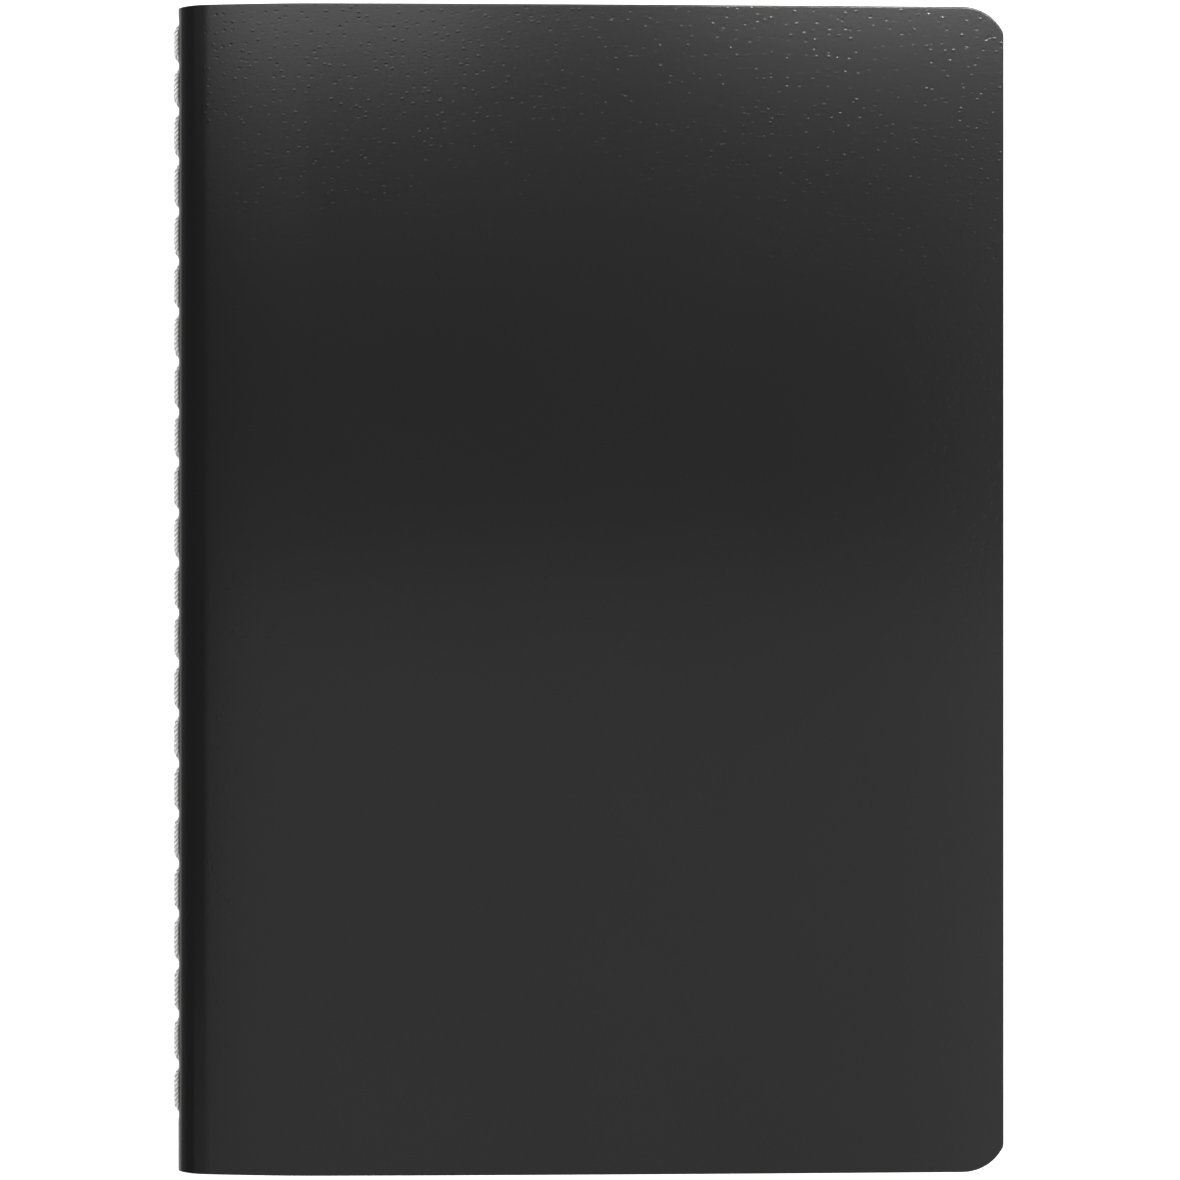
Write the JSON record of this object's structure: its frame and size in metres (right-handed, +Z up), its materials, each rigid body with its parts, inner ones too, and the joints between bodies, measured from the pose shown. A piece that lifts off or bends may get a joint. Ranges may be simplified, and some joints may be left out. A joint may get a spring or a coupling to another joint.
{
  "type": "notebook",
  "caption": "Thin A5 notebook with a soft dark cover, rounded fore-edge corners and folded sheets sewn through the fold with a light lockstitch",
  "frame": {"origin": "on the table, under the middle of the closed cover's width and height", "axes": "+X from the fold to the fore-edge, +Y from tail to head along the fold, +Z up out of the front cover"},
  "size_m": [0.1498, 0.21, 0.0076],
  "materials": {
    "cover": "satin",
    "paper": "matte",
    "thread": "matte"
  },
  "bodies": {
    "back_half": {"back_cover": "cover", "cover_fold": "cover", "sheet_folds": "paper", "outer_thread": "thread", "inner_thread": "thread", "back_leaf_01": "paper"},
    "front_leaf_01": {"front_leaf_01": "paper"},
    "back_leaf_02": {"back_leaf_02": "paper"},
    "front_leaf_02": {"front_leaf_02": "paper"},
    "back_leaf_03": {"back_leaf_03": "paper"},
    "front_leaf_03": {"front_leaf_03": "paper"},
    "back_leaf_04": {"back_leaf_04": "paper"},
    "front_leaf_04": {"front_leaf_04": "paper"},
    "back_leaf_05": {"back_leaf_05": "paper"},
    "front_leaf_05": {"front_leaf_05": "paper"},
    "back_leaf_06": {"back_leaf_06": "paper"},
    "front_leaf_06": {"front_leaf_06": "paper"},
    "back_leaf_07": {"back_leaf_07": "paper"},
    "front_leaf_07": {"front_leaf_07": "paper"},
    "back_leaf_08": {"back_leaf_08": "paper"},
    "front_leaf_08": {"front_leaf_08": "paper"},
    "back_leaf_09": {"back_leaf_09": "paper"},
    "front_leaf_09": {"front_leaf_09": "paper"},
    "back_leaf_10": {"back_leaf_10": "paper"},
    "front_leaf_10": {"front_leaf_10": "paper"},
    "back_leaf_11": {"back_leaf_11": "paper"},
    "front_leaf_11": {"front_leaf_11": "paper"},
    "back_leaf_12": {"back_leaf_12": "paper"},
    "front_leaf_12": {"front_leaf_12": "paper"},
    "back_leaf_13": {"back_leaf_13": "paper"},
    "front_leaf_13": {"front_leaf_13": "paper"},
    "back_leaf_14": {"back_leaf_14": "paper"},
    "front_leaf_14": {"front_leaf_14": "paper"},
    "back_leaf_15": {"back_leaf_15": "paper"},
    "front_leaf_15": {"front_leaf_15": "paper"},
    "back_leaf_16": {"back_leaf_16": "paper"},
    "front_leaf_16": {"front_leaf_16": "paper"},
    "back_leaf_17": {"back_leaf_17": "paper"},
    "front_leaf_17": {"front_leaf_17": "paper"},
    "back_leaf_18": {"back_leaf_18": "paper"},
    "front_leaf_18": {"front_leaf_18": "paper"},
    "back_leaf_19": {"back_leaf_19": "paper"},
    "front_leaf_19": {"front_leaf_19": "paper"},
    "back_leaf_20": {"back_leaf_20": "paper"},
    "front_leaf_20": {"front_leaf_20": "paper"},
    "front_cover": {"front_cover": "cover"}
  },
  "joints": [
    {"name": "centre_opening", "type": "hinge", "parent": "back_half", "child": "front_leaf_01", "pos_m": [-0.0719, 0, 0.0038], "axis": [0, -1, 0], "range_deg": [0, 179.9], "deforming": ["cover_fold", "sheet_folds", "outer_thread", "inner_thread"]},
    {"name": "back_leaf_02_lift", "type": "hinge", "parent": "back_half", "child": "back_leaf_02", "pos_m": [-0.0719, 0, 0.0038], "axis": [0, -1, 0], "range_deg": [0, 0.332]},
    {"name": "front_leaf_02_turn", "type": "hinge", "parent": "back_leaf_02", "child": "front_leaf_02", "pos_m": [-0.0719, 0, 0.0038], "axis": [0, -1, 0], "range_deg": [0, 179.24]},
    {"name": "back_leaf_03_lift", "type": "hinge", "parent": "back_half", "child": "back_leaf_03", "pos_m": [-0.0719, 0, 0.0038], "axis": [0, -1, 0], "range_deg": [0, 0.664]},
    {"name": "front_leaf_03_turn", "type": "hinge", "parent": "back_leaf_03", "child": "front_leaf_03", "pos_m": [-0.0719, 0, 0.0038], "axis": [0, -1, 0], "range_deg": [0, 178.57]},
    {"name": "back_leaf_04_lift", "type": "hinge", "parent": "back_half", "child": "back_leaf_04", "pos_m": [-0.0719, 0, 0.0038], "axis": [0, -1, 0], "range_deg": [0, 0.995]},
    {"name": "front_leaf_04_turn", "type": "hinge", "parent": "back_leaf_04", "child": "front_leaf_04", "pos_m": [-0.0719, 0, 0.0038], "axis": [0, -1, 0], "range_deg": [0, 177.91]},
    {"name": "back_leaf_05_lift", "type": "hinge", "parent": "back_half", "child": "back_leaf_05", "pos_m": [-0.0719, 0, 0.0038], "axis": [0, -1, 0], "range_deg": [0, 1.33]},
    {"name": "front_leaf_05_turn", "type": "hinge", "parent": "back_leaf_05", "child": "front_leaf_05", "pos_m": [-0.0719, 0, 0.0038], "axis": [0, -1, 0], "range_deg": [0, 177.25]},
    {"name": "back_leaf_06_lift", "type": "hinge", "parent": "back_half", "child": "back_leaf_06", "pos_m": [-0.0719, 0, 0.0038], "axis": [0, -1, 0], "range_deg": [0, 1.66]},
    {"name": "front_leaf_06_turn", "type": "hinge", "parent": "back_leaf_06", "child": "front_leaf_06", "pos_m": [-0.0719, 0, 0.0038], "axis": [0, -1, 0], "range_deg": [0, 176.59]},
    {"name": "back_leaf_07_lift", "type": "hinge", "parent": "back_half", "child": "back_leaf_07", "pos_m": [-0.0719, 0, 0.0038], "axis": [0, -1, 0], "range_deg": [0, 1.99]},
    {"name": "front_leaf_07_turn", "type": "hinge", "parent": "back_leaf_07", "child": "front_leaf_07", "pos_m": [-0.0719, 0, 0.0038], "axis": [0, -1, 0], "range_deg": [0, 175.92]},
    {"name": "back_leaf_08_lift", "type": "hinge", "parent": "back_half", "child": "back_leaf_08", "pos_m": [-0.0719, 0, 0.0038], "axis": [0, -1, 0], "range_deg": [0, 2.32]},
    {"name": "front_leaf_08_turn", "type": "hinge", "parent": "back_leaf_08", "child": "front_leaf_08", "pos_m": [-0.0719, 0, 0.0038], "axis": [0, -1, 0], "range_deg": [0, 175.26]},
    {"name": "back_leaf_09_lift", "type": "hinge", "parent": "back_half", "child": "back_leaf_09", "pos_m": [-0.0719, 0, 0.0038], "axis": [0, -1, 0], "range_deg": [0, 2.65]},
    {"name": "front_leaf_09_turn", "type": "hinge", "parent": "back_leaf_09", "child": "front_leaf_09", "pos_m": [-0.0719, 0, 0.0038], "axis": [0, -1, 0], "range_deg": [0, 174.6]},
    {"name": "back_leaf_10_lift", "type": "hinge", "parent": "back_half", "child": "back_leaf_10", "pos_m": [-0.0719, 0, 0.0038], "axis": [0, -1, 0], "range_deg": [0, 2.98]},
    {"name": "front_leaf_10_turn", "type": "hinge", "parent": "back_leaf_10", "child": "front_leaf_10", "pos_m": [-0.0719, 0, 0.0038], "axis": [0, -1, 0], "range_deg": [0, 173.94]},
    {"name": "back_leaf_11_lift", "type": "hinge", "parent": "back_half", "child": "back_leaf_11", "pos_m": [-0.0719, 0, 0.0038], "axis": [0, -1, 0], "range_deg": [0, 3.31]},
    {"name": "front_leaf_11_turn", "type": "hinge", "parent": "back_leaf_11", "child": "front_leaf_11", "pos_m": [-0.0719, 0, 0.0038], "axis": [0, -1, 0], "range_deg": [0, 173.27]},
    {"name": "back_leaf_12_lift", "type": "hinge", "parent": "back_half", "child": "back_leaf_12", "pos_m": [-0.0719, 0, 0.0038], "axis": [0, -1, 0], "range_deg": [0, 3.65]},
    {"name": "front_leaf_12_turn", "type": "hinge", "parent": "back_leaf_12", "child": "front_leaf_12", "pos_m": [-0.0719, 0, 0.0038], "axis": [0, -1, 0], "range_deg": [0, 172.61]},
    {"name": "back_leaf_13_lift", "type": "hinge", "parent": "back_half", "child": "back_leaf_13", "pos_m": [-0.0719, 0, 0.0038], "axis": [0, -1, 0], "range_deg": [0, 3.98]},
    {"name": "front_leaf_13_turn", "type": "hinge", "parent": "back_leaf_13", "child": "front_leaf_13", "pos_m": [-0.0719, 0, 0.0038], "axis": [0, -1, 0], "range_deg": [0, 171.95]},
    {"name": "back_leaf_14_lift", "type": "hinge", "parent": "back_half", "child": "back_leaf_14", "pos_m": [-0.0719, 0, 0.0038], "axis": [0, -1, 0], "range_deg": [0, 4.31]},
    {"name": "front_leaf_14_turn", "type": "hinge", "parent": "back_leaf_14", "child": "front_leaf_14", "pos_m": [-0.0719, 0, 0.0038], "axis": [0, -1, 0], "range_deg": [0, 171.28]},
    {"name": "back_leaf_15_lift", "type": "hinge", "parent": "back_half", "child": "back_leaf_15", "pos_m": [-0.0719, 0, 0.0038], "axis": [0, -1, 0], "range_deg": [0, 4.64]},
    {"name": "front_leaf_15_turn", "type": "hinge", "parent": "back_leaf_15", "child": "front_leaf_15", "pos_m": [-0.0719, 0, 0.0038], "axis": [0, -1, 0], "range_deg": [0, 170.62]},
    {"name": "back_leaf_16_lift", "type": "hinge", "parent": "back_half", "child": "back_leaf_16", "pos_m": [-0.0719, 0, 0.0038], "axis": [0, -1, 0], "range_deg": [0, 4.97]},
    {"name": "front_leaf_16_turn", "type": "hinge", "parent": "back_leaf_16", "child": "front_leaf_16", "pos_m": [-0.0719, 0, 0.0038], "axis": [0, -1, 0], "range_deg": [0, 169.96]},
    {"name": "back_leaf_17_lift", "type": "hinge", "parent": "back_half", "child": "back_leaf_17", "pos_m": [-0.0719, 0, 0.0038], "axis": [0, -1, 0], "range_deg": [0, 5.3]},
    {"name": "front_leaf_17_turn", "type": "hinge", "parent": "back_leaf_17", "child": "front_leaf_17", "pos_m": [-0.0719, 0, 0.0038], "axis": [0, -1, 0], "range_deg": [0, 169.3]},
    {"name": "back_leaf_18_lift", "type": "hinge", "parent": "back_half", "child": "back_leaf_18", "pos_m": [-0.0719, 0, 0.0038], "axis": [0, -1, 0], "range_deg": [0, 5.63]},
    {"name": "front_leaf_18_turn", "type": "hinge", "parent": "back_leaf_18", "child": "front_leaf_18", "pos_m": [-0.0719, 0, 0.0038], "axis": [0, -1, 0], "range_deg": [0, 168.63]},
    {"name": "back_leaf_19_lift", "type": "hinge", "parent": "back_half", "child": "back_leaf_19", "pos_m": [-0.0719, 0, 0.0038], "axis": [0, -1, 0], "range_deg": [0, 5.97]},
    {"name": "front_leaf_19_turn", "type": "hinge", "parent": "back_leaf_19", "child": "front_leaf_19", "pos_m": [-0.0719, 0, 0.0038], "axis": [0, -1, 0], "range_deg": [0, 167.97]},
    {"name": "back_leaf_20_lift", "type": "hinge", "parent": "back_half", "child": "back_leaf_20", "pos_m": [-0.0719, 0, 0.0038], "axis": [0, -1, 0], "range_deg": [0, 6.3]},
    {"name": "front_leaf_20_turn", "type": "hinge", "parent": "back_leaf_20", "child": "front_leaf_20", "pos_m": [-0.0719, 0, 0.0038], "axis": [0, -1, 0], "range_deg": [0, 167.31]},
    {"name": "front_cover_opening", "type": "hinge", "parent": "front_leaf_01", "child": "front_cover", "pos_m": [-0.0693, 0, 0.00655], "axis": [0, -1, 0], "range_deg": [0, 170]}
  ],
  "couplings": [
    {"joint": "back_leaf_02_lift", "follows": "centre_opening", "ratio": 0.001842},
    {"joint": "front_leaf_02_turn", "follows": "centre_opening", "ratio": 0.99632},
    {"joint": "back_leaf_03_lift", "follows": "centre_opening", "ratio": 0.003684},
    {"joint": "front_leaf_03_turn", "follows": "centre_opening", "ratio": 0.99263},
    {"joint": "back_leaf_04_lift", "follows": "centre_opening", "ratio": 0.005526},
    {"joint": "front_leaf_04_turn", "follows": "centre_opening", "ratio": 0.98895},
    {"joint": "back_leaf_05_lift", "follows": "centre_opening", "ratio": 0.007368},
    {"joint": "front_leaf_05_turn", "follows": "centre_opening", "ratio": 0.98526},
    {"joint": "back_leaf_06_lift", "follows": "centre_opening", "ratio": 0.009211},
    {"joint": "front_leaf_06_turn", "follows": "centre_opening", "ratio": 0.98158},
    {"joint": "back_leaf_07_lift", "follows": "centre_opening", "ratio": 0.011053},
    {"joint": "front_leaf_07_turn", "follows": "centre_opening", "ratio": 0.97789},
    {"joint": "back_leaf_08_lift", "follows": "centre_opening", "ratio": 0.012895},
    {"joint": "front_leaf_08_turn", "follows": "centre_opening", "ratio": 0.97421},
    {"joint": "back_leaf_09_lift", "follows": "centre_opening", "ratio": 0.014737},
    {"joint": "front_leaf_09_turn", "follows": "centre_opening", "ratio": 0.97053},
    {"joint": "back_leaf_10_lift", "follows": "centre_opening", "ratio": 0.016579},
    {"joint": "front_leaf_10_turn", "follows": "centre_opening", "ratio": 0.96684},
    {"joint": "back_leaf_11_lift", "follows": "centre_opening", "ratio": 0.018421},
    {"joint": "front_leaf_11_turn", "follows": "centre_opening", "ratio": 0.96316},
    {"joint": "back_leaf_12_lift", "follows": "centre_opening", "ratio": 0.020263},
    {"joint": "front_leaf_12_turn", "follows": "centre_opening", "ratio": 0.95947},
    {"joint": "back_leaf_13_lift", "follows": "centre_opening", "ratio": 0.022105},
    {"joint": "front_leaf_13_turn", "follows": "centre_opening", "ratio": 0.95579},
    {"joint": "back_leaf_14_lift", "follows": "centre_opening", "ratio": 0.023947},
    {"joint": "front_leaf_14_turn", "follows": "centre_opening", "ratio": 0.95211},
    {"joint": "back_leaf_15_lift", "follows": "centre_opening", "ratio": 0.025789},
    {"joint": "front_leaf_15_turn", "follows": "centre_opening", "ratio": 0.94842},
    {"joint": "back_leaf_16_lift", "follows": "centre_opening", "ratio": 0.027632},
    {"joint": "front_leaf_16_turn", "follows": "centre_opening", "ratio": 0.94474},
    {"joint": "back_leaf_17_lift", "follows": "centre_opening", "ratio": 0.029474},
    {"joint": "front_leaf_17_turn", "follows": "centre_opening", "ratio": 0.94105},
    {"joint": "back_leaf_18_lift", "follows": "centre_opening", "ratio": 0.031316},
    {"joint": "front_leaf_18_turn", "follows": "centre_opening", "ratio": 0.93737},
    {"joint": "back_leaf_19_lift", "follows": "centre_opening", "ratio": 0.033158},
    {"joint": "front_leaf_19_turn", "follows": "centre_opening", "ratio": 0.93368},
    {"joint": "back_leaf_20_lift", "follows": "centre_opening", "ratio": 0.035},
    {"joint": "front_leaf_20_turn", "follows": "centre_opening", "ratio": 0.93}
  ]
}
